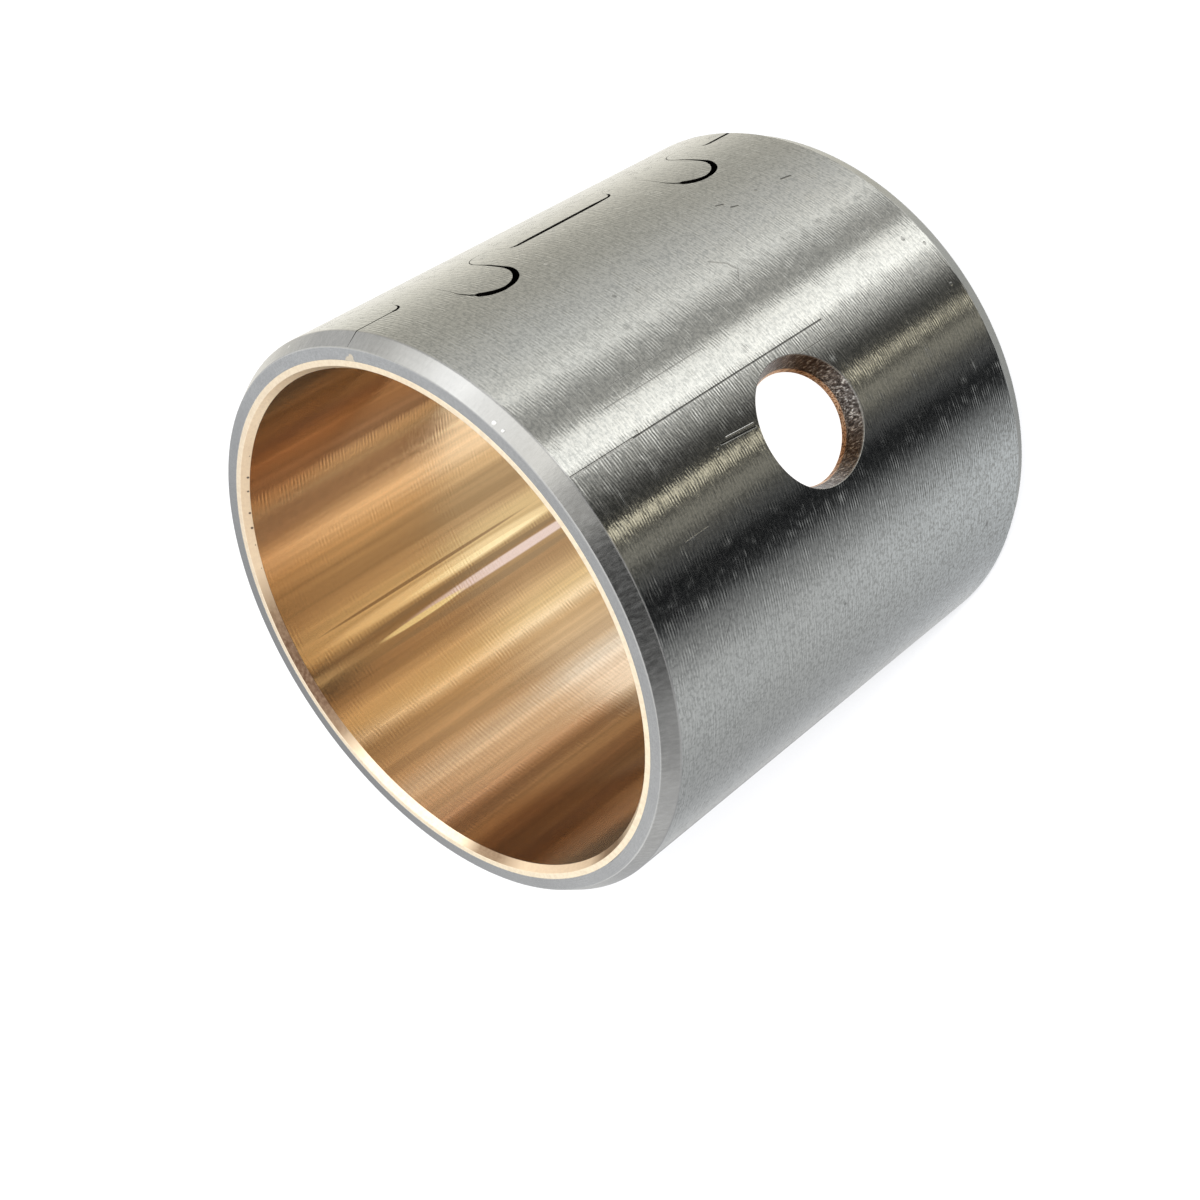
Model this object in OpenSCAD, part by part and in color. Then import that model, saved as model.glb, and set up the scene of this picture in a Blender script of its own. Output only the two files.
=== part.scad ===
// Wrapped bimetal bush for the small end of a connecting rod.
// A steel strip with a bonded bronze lining is blanked flat, rolled round and closed by two clinches.
// The origin is the centre of the lower end, and +Z runs up the bore axis.

/* [Bush] */
// Outside diameter of the steel backing
outer_d = 40; // [34:0.5:60]
// Length from end to end
bush_length = 38; // [36:0.5:70]
// Thickness of the steel backing
backing_t = 1.5; // [1:0.05:2.2]
// Thickness of the bronze lining
lining_t = 0.75; // [0.5:0.05:1.2]

/* [End chamfers] */
// Length of the upper outside chamfer along the axis
upper_chamfer_l = 1.05; // [0.3:0.05:2.5]
// Depth of the upper outside chamfer into the wall
upper_chamfer_t = 0.66; // [0.2:0.02:0.9]
// Length of the lower outside chamfer along the axis
lower_chamfer_l = 1.3; // [0.3:0.05:2.5]
// Depth of the lower outside chamfer into the wall
lower_chamfer_t = 0.56; // [0.2:0.02:0.9]
// Length of the bore chamfer along the axis
bore_chamfer_l = 0.55; // [0.2:0.05:1.5]
// Depth of the bore chamfer into the lining
bore_chamfer_t = 0.35; // [0.1:0.05:0.45]

/* [Oil hole] */
// Diameter of the oil hole
oil_hole_d = 8.3; // [3:0.1:10]
// Turn from the seam to the oil hole, clockwise seen from above
seam_to_hole_deg = 66; // [45:1:180]

/* [Seam] */
// Width of the closed seam
seam_gap = 0.12; // [0.06:0.01:0.3]
// Distance from the upper end to the nearer clinch
upper_clinch_inset = 9.65; // [7:0.05:12]
// Distance from the lower end to the nearer clinch
lower_clinch_inset = 8.9; // [7:0.05:12]

/* [Clinch] */
// Radius of the round head of the tab
head_r = 2.1; // [1.8:0.05:2.5]
// Distance from the seam line to the centre of the head
head_reach = 1.95; // [1.8:0.05:3]
// Radius of the two ears that grip the neck of the tab
ear_r = 1.4; // [1:0.05:1.5]
// Distance from the clinch's centre line to the centre of an ear
ear_side = 3.35; // [3.3:0.05:3.8]
// Distance that the centre of an ear lies behind the seam line
ear_dip = 0.45; // [0.2:0.05:0.7]
// Radius of the corner where an ear leaves the seam line
ear_fillet_r = 0.7; // [0.4:0.05:1]
// How much larger the pocket's radius is than the head's
pocket_play = 0.12; // [0.02:0.02:0.2]
// How far the pocket's centre lies beyond the head's
pocket_shift = 0.22; // [0:0.02:0.3]
// Direction of that shift, from the lower end towards the oil hole
pocket_shift_deg = 60; // [0:5:180]

/* [Hidden] */

$fn = 120;
arc_step = 12;
cut = 1;

outer_r = outer_d / 2;
bond_r = outer_r - backing_t;
bore_r = bond_r - lining_t;
oil_hole_deg = -90;
oil_hole_h = bush_length / 2;
seam_deg = oil_hole_deg + seam_to_hole_deg;

// Centres in one clinch: the first coordinate crosses the seam towards the oil hole, the second is up
head_c = [head_reach, 0];
pocket_c = head_c + pocket_shift * [sin(pocket_shift_deg), -cos(pocket_shift_deg)];
fillet_side = sqrt((ear_r + ear_fillet_r) ^ 2 - (ear_fillet_r - ear_dip) ^ 2);

function polar(r, a) = r * [cos(a), sin(a)];
function flip(points) = [for (p = points) [p[0], -p[1]]];
function raise(points, h) = [for (p = points) p + [0, h]];
function reverse(points) = [for (i = [len(points) - 1 : -1 : 0]) points[i]];
function arc(c, r, from, to) =
    let (steps = ceil(abs(to - from) / arc_step))
    [for (i = [0 : steps]) c + polar(r, from + (to - from) * i / steps)];

// Angle at which the straight neck touches the circle of an ear, from the ear's centre
function neck_angle(ear, ear_radius, head, head_radius) =
    atan2(head[1] - ear[1], head[0] - ear[0])
    - acos((ear_radius + head_radius) / norm(head - ear));

// Upper half of a clinch's edge, from the top of the head round the ear to the seam line.
// The edge is moved by off towards the oil hole.
function half_clinch(off, head, radius) =
    let (
        ear = [-ear_dip, ear_side],
        fillet = [-ear_fillet_r, ear_side + fillet_side],
        neck = neck_angle(ear, ear_r - off, head, radius),
        turn = atan2(fillet[1] - ear[1], fillet[0] - ear[0])
    )
    concat(
        arc(head, radius, 0, neck + 180),
        arc(ear, ear_r - off, neck, turn - 360),
        arc(fillet, ear_fillet_r + off, turn - 180, 0)
    );

// Whole edge of a clinch from bottom to top, about its own centre line
function clinch(off, head, radius) =
    concat(
        reverse(flip(half_clinch(off, [head[0], -head[1]], radius))),
        half_clinch(off, head, radius)
    );

// One edge of the seam from below the lower end to above the upper one
function seam_edge(off, head, radius) =
    concat(
        [[off, -cut]],
        raise(clinch(off, head, radius), lower_clinch_inset),
        raise(clinch(off, head, radius), bush_length - upper_clinch_inset),
        [[off, bush_length + cut]]
    );

// The open seam between the tab's edge and the pocket's, cut through both layers
module seam_cut() {
    tab = seam_edge(-seam_gap / 2, head_c, head_r - seam_gap / 2);
    pocket = seam_edge(seam_gap / 2, pocket_c, head_r + seam_gap / 2 + pocket_play);
    rotate([0, 0, seam_deg])
        rotate([90, 0, -90])
            translate([0, 0, -outer_r - cut])
                linear_extrude(backing_t + lining_t + 3 * cut)
                    polygon(concat(tab, reverse(pocket)));
}

// The oil hole, drilled from outside through both layers
module oil_hole_cut() {
    rotate([0, 0, oil_hole_deg])
        translate([bore_r / 2, 0, oil_hole_h])
            rotate([0, 90, 0])
                cylinder(h = outer_r, d = oil_hole_d);
}

// The steel layer, chamfered outside at both ends
module steel_backing() {
    upper_rim_r = outer_r - upper_chamfer_t;
    lower_rim_r = outer_r - lower_chamfer_t;
    color([0.66, 0.66, 0.62])
        difference() {
            rotate_extrude()
                polygon([
                    [bond_r, 0],
                    [lower_rim_r, 0],
                    [outer_r, lower_chamfer_l],
                    [outer_r, bush_length - upper_chamfer_l],
                    [upper_rim_r, bush_length],
                    [bond_r, bush_length]
                ]);
            seam_cut();
            oil_hole_cut();
        }
}

// The bronze layer, chamfered at both ends of the bore
module bronze_lining() {
    lip_r = bore_r + bore_chamfer_t;
    color([0.80, 0.62, 0.42])
        difference() {
            rotate_extrude()
                polygon([
                    [bond_r, 0],
                    [bond_r, bush_length],
                    [lip_r, bush_length],
                    [bore_r, bush_length - bore_chamfer_l],
                    [bore_r, bore_chamfer_l],
                    [lip_r, 0]
                ]);
            seam_cut();
            oil_hole_cut();
        }
}

steel_backing();
bronze_lining();
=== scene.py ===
"""Connecting rod bushing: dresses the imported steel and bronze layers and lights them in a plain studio."""

from math import acos, atan2, cos, hypot, pi, radians, sin, sqrt

import bmesh
import bpy
import numpy as np
from mathutils import Matrix, Vector


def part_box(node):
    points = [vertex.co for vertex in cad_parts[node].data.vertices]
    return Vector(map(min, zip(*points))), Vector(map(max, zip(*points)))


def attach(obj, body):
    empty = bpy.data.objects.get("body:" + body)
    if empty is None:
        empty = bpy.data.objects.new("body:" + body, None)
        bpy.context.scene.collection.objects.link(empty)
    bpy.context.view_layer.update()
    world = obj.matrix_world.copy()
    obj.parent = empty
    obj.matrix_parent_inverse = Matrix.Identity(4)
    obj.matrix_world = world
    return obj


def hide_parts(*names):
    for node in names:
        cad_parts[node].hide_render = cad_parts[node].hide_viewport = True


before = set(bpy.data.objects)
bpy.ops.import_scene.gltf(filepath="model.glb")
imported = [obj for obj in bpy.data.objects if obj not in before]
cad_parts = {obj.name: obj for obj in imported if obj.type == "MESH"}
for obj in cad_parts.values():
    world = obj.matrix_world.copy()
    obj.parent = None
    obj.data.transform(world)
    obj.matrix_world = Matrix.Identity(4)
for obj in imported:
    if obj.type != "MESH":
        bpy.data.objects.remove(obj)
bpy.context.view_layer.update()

MM = 0.001

# Sizes in millimetres, from the frame where it has them
OUTER_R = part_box("steel_backing")[1][0] / MM
BUSH_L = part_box("steel_backing")[1][2] / MM
BOND_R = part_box("bronze_lining")[1][0] / MM
LINING_T = 0.75
BORE_R = BOND_R - LINING_T
UPPER_CHAMFER_L, UPPER_CHAMFER_T = 1.05, 0.66
LOWER_CHAMFER_L, LOWER_CHAMFER_T = 1.3, 0.56
BORE_CHAMFER_L, BORE_CHAMFER_T = 0.55, 0.35

# Small edge roundings that the solids leave out
WALL_EDGE_R = 0.30
RIM_EDGE_R = 0.14
BOND_EDGE_R = 0.025
LIP_EDGE_R = 0.06
EDGE_STEPS = 6

# Oil hole, drilled a little askew
HOLE_R = 4.15
HOLE_H = BUSH_L / 2
HOLE_BREAK = 0.06
# How much wider and higher the drill entered, and how much narrower and lower it left
HOLE_ENTRY, HOLE_ENTRY_RISE = 0.08, 0.08
HOLE_TAPER, HOLE_DRIFT, HOLE_DROP = 0.47, -0.22, 0.55
# Rings of its broken edges: how much wider than the hole, and how far outside the surface
HOLE_OUTER_RINGS = [(0.30, 0.20), (HOLE_BREAK, 0.0), (HOLE_BREAK * 0.35, -0.03), (0.0, -0.10)]
HOLE_INNER_RINGS = [(0.0, 0.08), (0.03, 0.02), (0.06, 0.0), (0.10, -0.20)]
# How far the drill reaches beyond the wall each way
HOLE_OVERRUN = 2
HOLE_STEPS = 96

# Seam, in the flat strip: the first coordinate crosses it towards the oil hole, the second is height
SEAM_DEG = -24
SEAM_SKEW = radians(1.0)
UPPER_CLINCH_H = BUSH_L - 9.65
LOWER_CLINCH_H = 8.9
HEAD_R = 2.1
HEAD_REACH = 1.95
EAR_R = 1.4
EAR_SIDE = 3.35
EAR_DIP = 0.45
EAR_FILLET_R = 0.7
SEAM_OVERRUN = 1.0
# Share by which the seam is wider at the surfaces, and how much of that each radius gets
SEAM_FLARE = 0.45
SEAM_LAYERS = [
    (BORE_R - 0.5, 2.0), (BORE_R, 1.0), (BORE_R + 0.05, 0.0),
    (OUTER_R - 0.06, 0.0), (OUTER_R - 0.02, 0.4), (OUTER_R, 1.0), (OUTER_R + 0.5, 2.0),
]
# Heights of the middle stretch's points, as shares of it
STRETCH_PARTS = (0.15, 0.35, 0.65, 0.85)
# Where the upper stretch has its full width: from above the clinch to below the end
STRETCH_FROM, STRETCH_TO = 0.4, 0.8
# How far from the head's circle a point still counts as on it
ON_HEAD = 0.001

# Open width of the seam at points of one half of a clinch, counted from the top of its head to the seam line
HEAD_STEPS, EAR_STEPS, FILLET_STEPS = 30, 24, 12
UPPER_HALF_GAPS = [
    (0, 0.10), (5, 0.17), (9, 0.24), (15, 0.24), (17, 0.008), (53, 0.008), (58, 0.09), (68, 0.17),
]
LOWER_HALF_GAPS = [
    (0, 0.07), (24, 0.05), (34, 0.05), (42, 0.03), (48, 0.012), (60, 0.012), (64, 0.14), (68, 0.20),
]
# Open width along the straight stretches, from the lower end up
LOWER_STRETCH_GAP, MIDDLE_STRETCH_GAP, UPPER_STRETCH_GAP = 0.24, 0.27, 0.07
# The seam is smeared shut on the upper end's flat rings
CLOSED_GAP, SEAM_TOP_SKIN = 0.02, 0.06
# Open crescent between head and pocket: angle from the head's top towards the lower end, and width
CRESCENT = [(-100, 0.0), (-86, 0.06), (-60, 0.16), (0, 0.26), (45, 0.36), (75, 0.32), (98, 0.12), (112, 0.0)]

# Mesh density, the distance at which vertices become one, and the angle from which an edge is sharp
COLUMNS = 720
WELD_DISTANCE = 0.002
SHARP_ANGLE = radians(30)
# Least agreement of two normals on one part of the profile
SAME_WAY = 0.9

# Camera, from the photograph's fitted view, in the row frame
CAMERA_AT = (11.512, -108.819, 103.868)
CAMERA_RIGHT = (-0.49383817, -0.55631903, -0.66830607)
CAMERA_UP = (0.86131846, -0.20742786, -0.46379327)
CAMERA_BACK = (0.11939172, -0.80466317, 0.58160364)
CAMERA_LENS, CAMERA_SENSOR, CAMERA_CLIP = 60.303, 36, 0.005

# Material slots of a shell
WALL, FACED, SHEARED = 0, 1, 2


# Geometry


def rounded_profile(corners):
    """Closed outline as (radius, height), with a normal at each point and a slot for each edge.

    corners is a list of (radius, height, edge radius, slot of the edge that follows), with the metal on the
    left of the walk.
    """
    points, normals, slots = [], [], []
    count = len(corners)
    for i, (r, h, edge, slot) in enumerate(corners):
        here = Vector((r, h))
        before = Vector(corners[i - 1][:2])
        after = Vector(corners[(i + 1) % count][:2])
        come = (here - before).normalized()
        go = (after - here).normalized()
        turn = come.angle_signed(go) * -1
        n_in = Vector((come.y, -come.x))
        start = here - come * edge * abs(np.tan(turn / 2))
        centre = start - n_in * edge
        for k in range(EDGE_STEPS + 1):
            n = Matrix.Rotation(turn * k / EDGE_STEPS, 2) @ n_in
            points.append(centre + n * edge)
            normals.append(n)
            slots.append(slot)
    return np.array([p[:] for p in points]), np.array([n[:] for n in normals]), slots


def mesh_object(name, verts, faces, materials=(), slots=None):
    """New object from vertices in millimetres."""
    mesh = bpy.data.meshes.new(name)
    mesh.from_pydata([tuple(np.array(v) * MM) for v in verts], [], faces)
    for material in materials:
        mesh.materials.append(material)
    if slots is not None:
        mesh.polygons.foreach_set("material_index", slots)
    obj = bpy.data.objects.new(name, mesh)
    bpy.context.collection.objects.link(obj)
    return obj


def lathe(name, points, slots, materials):
    """Solid of revolution of a closed profile about Z."""
    rows = len(points)
    verts, faces, face_slots = [], [], []
    for c in range(COLUMNS):
        a = 2 * pi * c / COLUMNS
        verts += [(r * cos(a), r * sin(a), h) for r, h in points]
    for c in range(COLUMNS):
        d = (c + 1) % COLUMNS
        for i in range(rows):
            j = (i + 1) % rows
            faces.append((c * rows + i, d * rows + i, d * rows + j, c * rows + j))
            face_slots.append(slots[i])
    return mesh_object(name, verts, faces, materials, face_slots)


def arc(centre, radius, start, end, steps, side):
    """Points of an arc, each with the direction that crosses the seam there."""
    made = []
    for i in range(steps + 1):
        a = start + (end - start) * i / steps
        made.append((centre[0] + radius * cos(a), centre[1] + radius * sin(a), side * cos(a), side * sin(a)))
    return made


def half_clinch():
    """Upper half of a clinch: head, neck, ear and fillet."""
    head, ear = (HEAD_REACH, 0), (-EAR_DIP, EAR_SIDE)
    rise = sqrt((EAR_R + EAR_FILLET_R) ** 2 - (EAR_FILLET_R - EAR_DIP) ** 2)
    fillet = (-EAR_FILLET_R, EAR_SIDE + rise)
    dx, dy = head[0] - ear[0], head[1] - ear[1]
    neck = atan2(dy, dx) - acos((EAR_R + HEAD_R) / hypot(dx, dy))
    turn = atan2(fillet[1] - ear[1], fillet[0] - ear[0])
    return (
        arc(head, HEAD_R, 0, neck + pi, HEAD_STEPS, 1)
        + arc(ear, EAR_R, neck, turn - 2 * pi, EAR_STEPS, -1)
        + arc(fillet, EAR_FILLET_R, turn - pi, 0, FILLET_STEPS, 1)
    )


def crescent_width(x, y):
    """Extra width of the pocket beside the head at a point of the head's edge."""
    if hypot(x - HEAD_REACH, y) > HEAD_R + ON_HEAD:
        return 0.0
    down = np.degrees(atan2(-y, x - HEAD_REACH))
    angles, widths = zip(*CRESCENT)
    return float(np.interp(down, angles, widths))


def seam_line():
    """The seam from below the lower end to just under the upper one.

    Each row has a point, the direction that crosses the seam there, the gap and the crescent.
    """
    half = half_clinch()
    upper_gaps = np.interp(range(len(half)), *zip(*UPPER_HALF_GAPS))
    lower_gaps = np.interp(range(len(half)), *zip(*LOWER_HALF_GAPS))
    one = [(x, -y, nx, -ny, gap) for (x, y, nx, ny), gap in zip(half, lower_gaps)][::-1]
    one += [(x, y, nx, ny, gap) for (x, y, nx, ny), gap in zip(half, upper_gaps)]
    line = [(0, -SEAM_OVERRUN, 1, 0, LOWER_STRETCH_GAP, 0)]
    for height in (LOWER_CLINCH_H, UPPER_CLINCH_H):
        line += [(x, y + height, nx, ny, gap, crescent_width(x, y)) for x, y, nx, ny, gap in one]
        if height == LOWER_CLINCH_H:
            foot, top = line[-1][1], UPPER_CLINCH_H + one[0][1]
            for part in STRETCH_PARTS:
                line.append((0, foot + (top - foot) * part, 1, 0, MIDDLE_STRETCH_GAP, 0))
    line.append((0, line[-1][1] + STRETCH_FROM, 1, 0, UPPER_STRETCH_GAP, 0))
    line.append((0, BUSH_L - STRETCH_TO, 1, 0, UPPER_STRETCH_GAP, 0))
    line.append((0, BUSH_L - SEAM_TOP_SKIN, 1, 0, CLOSED_GAP, 0))
    return line


def seam_point(x, h, r):
    """Point of the flat strip at radius r, with the seam's slight lean."""
    lean = (h - BUSH_L / 2) * np.tan(SEAM_SKEW)
    a = radians(SEAM_DEG) - (x + lean) / OUTER_R
    return (r * cos(a), r * sin(a), h)


def seam_cutter():
    """The open seam as a thin ribbon through both layers, flared where it meets the outside and the bore."""
    line = seam_line()
    verts, faces = [], []
    for r, flare in SEAM_LAYERS:
        tab, socket = [], []
        for x, y, nx, ny, gap, crescent in line:
            back = gap / 2 * (1 + SEAM_FLARE * flare)
            front = back + crescent
            tab.append((x - nx * back, y - ny * back))
            socket.append((x + nx * front, y + ny * front))
        verts += [seam_point(x, h, r) for x, h in tab + socket[::-1]]
    side = len(line)
    size = 2 * side
    for k in range(len(SEAM_LAYERS) - 1):
        a, b = k * size, (k + 1) * size
        for i in range(size):
            j = (i + 1) % size
            faces.append((a + i, a + j, b + j, b + i))
    top = (len(SEAM_LAYERS) - 1) * size
    for i in range(side - 1):
        left, right = (i, i + 1), (size - 1 - i, size - 2 - i)
        faces.append((left[0], right[0], right[1], left[1]))
        faces.append((top + left[1], top + right[1], top + right[0], top + left[0]))
    return verts, faces


def hole_cutter():
    """The drilled oil hole, with its edges broken evenly along the curved surfaces."""
    entry, way_out = HOLE_R + HOLE_ENTRY, HOLE_R - HOLE_TAPER
    rings = [(entry + HOLE_OUTER_RINGS[0][0], None, OUTER_R + HOLE_OVERRUN, 0.0, HOLE_ENTRY_RISE)]
    rings += [(entry + grow, OUTER_R, lift, 0.0, HOLE_ENTRY_RISE) for grow, lift in HOLE_OUTER_RINGS]
    rings += [(way_out + grow, BORE_R, lift, HOLE_DRIFT, -HOLE_DROP) for grow, lift in HOLE_INNER_RINGS]
    rings += [(way_out + HOLE_INNER_RINGS[-1][0], None, BORE_R - HOLE_OVERRUN, HOLE_DRIFT, -HOLE_DROP)]
    verts, faces = [], []
    for radius, surface, lift, drift, rise in rings:
        for i in range(HOLE_STEPS):
            a = 2 * pi * i / HOLE_STEPS
            across, up = drift + radius * cos(a), rise + radius * sin(a)
            out = sqrt(surface**2 - across**2) + lift if surface else lift
            verts.append((across, -out, HOLE_H + up))
    for k in range(len(rings) - 1):
        for i in range(HOLE_STEPS):
            j = (i + 1) % HOLE_STEPS
            a, b = k * HOLE_STEPS, (k + 1) * HOLE_STEPS
            faces.append((a + i, a + j, b + j, b + i))
    last = (len(rings) - 1) * HOLE_STEPS
    faces.append(tuple(range(HOLE_STEPS))[::-1])
    faces.append(tuple(last + i for i in range(HOLE_STEPS)))
    return verts, faces


def fix_normals(obj):
    """Turns every face of a closed mesh outwards."""
    bm = bmesh.new()
    bm.from_mesh(obj.data)
    bmesh.ops.recalc_face_normals(bm, faces=bm.faces)
    bm.to_mesh(obj.data)
    bm.free()


def carve(obj, name, cutter, cut_material):
    """Cuts a closed mesh out of obj. The new faces take the cut material."""
    tool = mesh_object(name, *cutter, [cut_material])
    fix_normals(tool)
    modifier = obj.modifiers.new(name, "BOOLEAN")
    modifier.operation = "DIFFERENCE"
    modifier.solver = "MANIFOLD"
    modifier.material_mode = "TRANSFER"
    modifier.object = tool
    graph = bpy.context.evaluated_depsgraph_get()
    mesh = bpy.data.meshes.new_from_object(obj.evaluated_get(graph), depsgraph=graph)
    obj.modifiers.clear()
    obj.data = mesh
    bpy.data.objects.remove(tool)


def weld(obj):
    """Joins vertices that the cuts left close together, and splits the faces to keep the mesh closed."""
    bm = bmesh.new()
    bm.from_mesh(obj.data)
    bmesh.ops.remove_doubles(bm, verts=bm.verts, dist=WELD_DISTANCE * MM)
    bmesh.ops.dissolve_degenerate(bm, edges=bm.edges, dist=WELD_DISTANCE * MM / 2)
    bmesh.ops.triangulate(bm, faces=bm.faces)
    bm.to_mesh(obj.data)
    bm.free()


def read(collection, field, kind, width=1):
    """One field of every item of a collection, as an array with width columns."""
    values = np.empty(len(collection) * width, kind)
    collection.foreach_get(field, values)
    return values.reshape(-1, width) if width > 1 else values


def profile_normals(obj, points, normals):
    """Gives the turned faces the profile's own normals, so that the metal shades without facets."""
    mesh = obj.data
    mesh.set_sharp_from_angle(angle=SHARP_ANGLE)
    loop_face = np.repeat(np.arange(len(mesh.polygons)), read(mesh.polygons, "loop_total", np.int32))
    loop_co = read(mesh.vertices, "co", float, 3)[read(mesh.loops, "vertex_index", np.int32)] / MM
    loop_r = np.hypot(loop_co[:, 0], loop_co[:, 1])
    out = loop_co[:, :2] / loop_r[:, None]
    flat = np.column_stack((loop_r, loop_co[:, 2]))
    face_n = read(mesh.polygons, "normal", float, 3)
    corners = np.bincount(loop_face)[:, None]

    def mean(values):
        return np.column_stack([np.bincount(loop_face, column) for column in values.T]) / corners

    centre, middle = mean(flat), mean(out)
    middle /= np.hypot(middle[:, 0], middle[:, 1])[:, None]
    facing = np.column_stack(((face_n[:, :2] * middle).sum(1), face_n[:, 2]))
    span = np.roll(points, -1, 0) - points
    next_n = np.roll(normals, -1, 0)
    size2 = (span**2).sum(1)
    along = ((centre[:, None] - points) * span).sum(2) / size2
    nearest = points + span * np.clip(along, 0, 1)[..., None]
    gap = ((nearest - centre[:, None]) ** 2).sum(2)
    gap += 10 * (facing @ (normals + next_n).T < SAME_WAY)
    k = gap.argmin(1)[loop_face]
    t = np.clip(((flat - points[k]) * span[k]).sum(1) / size2[k], 0, 1)[:, None]
    mixed = normals[k] * (1 - t) + next_n[k] * t
    mixed /= np.hypot(mixed[:, 0], mixed[:, 1])[:, None]
    result = np.column_stack((out * mixed[:, :1], mixed[:, 1]))
    result[read(mesh.polygons, "material_index", np.int32)[loop_face] == SHEARED] = 0
    mesh.normals_split_custom_set(result.tolist())


# Materials


class Graph:
    """Short names for building a shader's nodes."""

    def __init__(self, tree):
        self.tree = tree
        tree.nodes.clear()

    def node(self, kind, **settings):
        made = self.tree.nodes.new(kind)
        for key, value in settings.items():
            setattr(made, key, value)
        return made

    def put(self, value, socket):
        """Links a socket, or sets it to a plain value."""
        if isinstance(value, bpy.types.NodeSocket):
            self.tree.links.new(value, socket)
        else:
            socket.default_value = value

    def math(self, operation, a, b=0.0, c=0.0):
        made = self.node("ShaderNodeMath", operation=operation)
        for socket, value in zip(made.inputs, (a, b, c)):
            self.put(value, socket)
        return made.outputs[0]

    def vector(self, operation, a, b, output="Vector"):
        made = self.node("ShaderNodeVectorMath", operation=operation)
        self.put(a, made.inputs[0])
        self.put(b, made.inputs["Scale" if operation == "SCALE" else 1])
        return made.outputs[output]

    def step(self, value, low, high):
        """0 below low and 1 above high."""
        made = self.node("ShaderNodeMapRange", clamp=True)
        made.interpolation_type = "SMOOTHSTEP"
        for key, number in (("Value", value), ("From Min", low), ("From Max", high)):
            self.put(number, made.inputs[key])
        return made.outputs["Result"]

    def scale(self, value, low, high, to_low, to_high):
        """Maps low to to_low and high to to_high, and holds there beyond them."""
        made = self.node("ShaderNodeMapRange", clamp=True)
        self.put(value, made.inputs["Value"])
        for key, number in zip(("From Min", "From Max", "To Min", "To Max"), (low, high, to_low, to_high)):
            self.put(number, made.inputs[key])
        return made.outputs["Result"]

    def combine(self, x, y, z):
        made = self.node("ShaderNodeCombineXYZ")
        for socket, value in zip(made.inputs, (x, y, z)):
            self.put(value, socket)
        return made.outputs[0]

    def noise(self, vector, scale=1.0, detail=2.0, rough=0.5):
        made = self.node("ShaderNodeTexNoise")
        self.put(vector, made.inputs["Vector"])
        made.inputs["Scale"].default_value = scale
        made.inputs["Detail"].default_value = detail
        made.inputs["Roughness"].default_value = rough
        return made.outputs[0]

    def mix(self, fac, a, b, blend="MIX"):
        made = self.node("ShaderNodeMix", data_type="RGBA", blend_type=blend)
        self.put(fac, made.inputs[0])
        self.put(a if isinstance(a, bpy.types.NodeSocket) else (*a, 1), made.inputs[6])
        self.put(b if isinstance(b, bpy.types.NodeSocket) else (*b, 1), made.inputs[7])
        return made.outputs[2]

    def ramp(self, fac, stops, interpolation="LINEAR"):
        made = self.node("ShaderNodeValToRGB")
        made.color_ramp.interpolation = interpolation
        elements = made.color_ramp.elements
        while len(elements) > 1:
            elements.remove(elements[0])
        for i, (position, colour) in enumerate(stops):
            element = elements[0] if i == 0 else elements.new(position)
            element.position = position
            element.color = (*colour, 1)
        self.put(fac, made.inputs[0])
        return made.outputs[0]


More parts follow.
